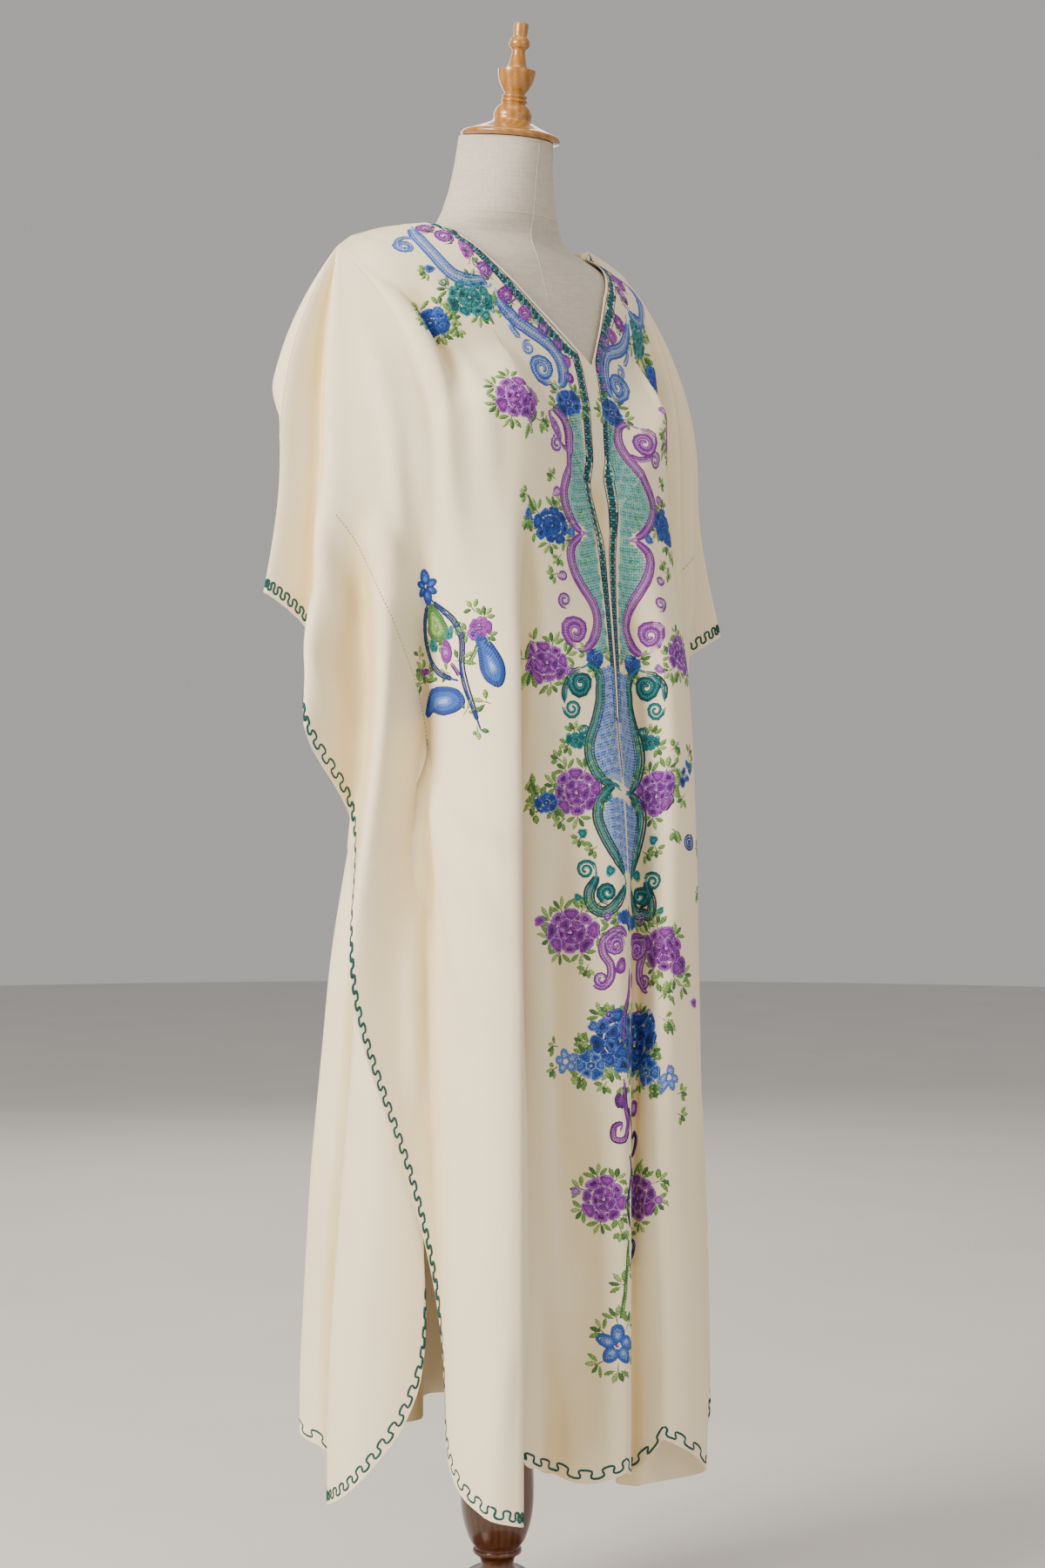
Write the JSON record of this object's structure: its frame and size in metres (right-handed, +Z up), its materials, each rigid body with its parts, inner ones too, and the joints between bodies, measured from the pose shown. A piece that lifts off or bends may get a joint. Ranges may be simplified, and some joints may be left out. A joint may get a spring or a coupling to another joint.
{
  "type": "embroidered kaftan on a limbless dress form with a turned wooden stand",
  "caption": "Loose full-length ivory kaftan with a floral-embroidered V neck, worn on a limbless linen dress form with a turned wooden neck finial, pole and round base.",
  "frame": {"origin": "middle of the flat underside of the stand's round base, on the floor", "axes": "+Z up along the pole; the form faces -Y, so the wearer's right is -X"},
  "size_m": [0.5738, 0.3871, 1.7201],
  "materials": {
    "kaftan_cloth": "fine soft crepe weave, faint sheen, chain-stitch embroidery",
    "form_linen": "matte plain-weave linen",
    "finial_wood": "honey-coloured gloss lacquer",
    "stand_wood": "dark brown gloss lacquer"
  },
  "bodies": {
    "root": {"front_panel": "kaftan_cloth", "back_panel": "kaftan_cloth", "torso": "form_linen", "neck_finial": "finial_wood", "pole": "stand_wood", "base": "stand_wood"}
  },
  "joints": []
}
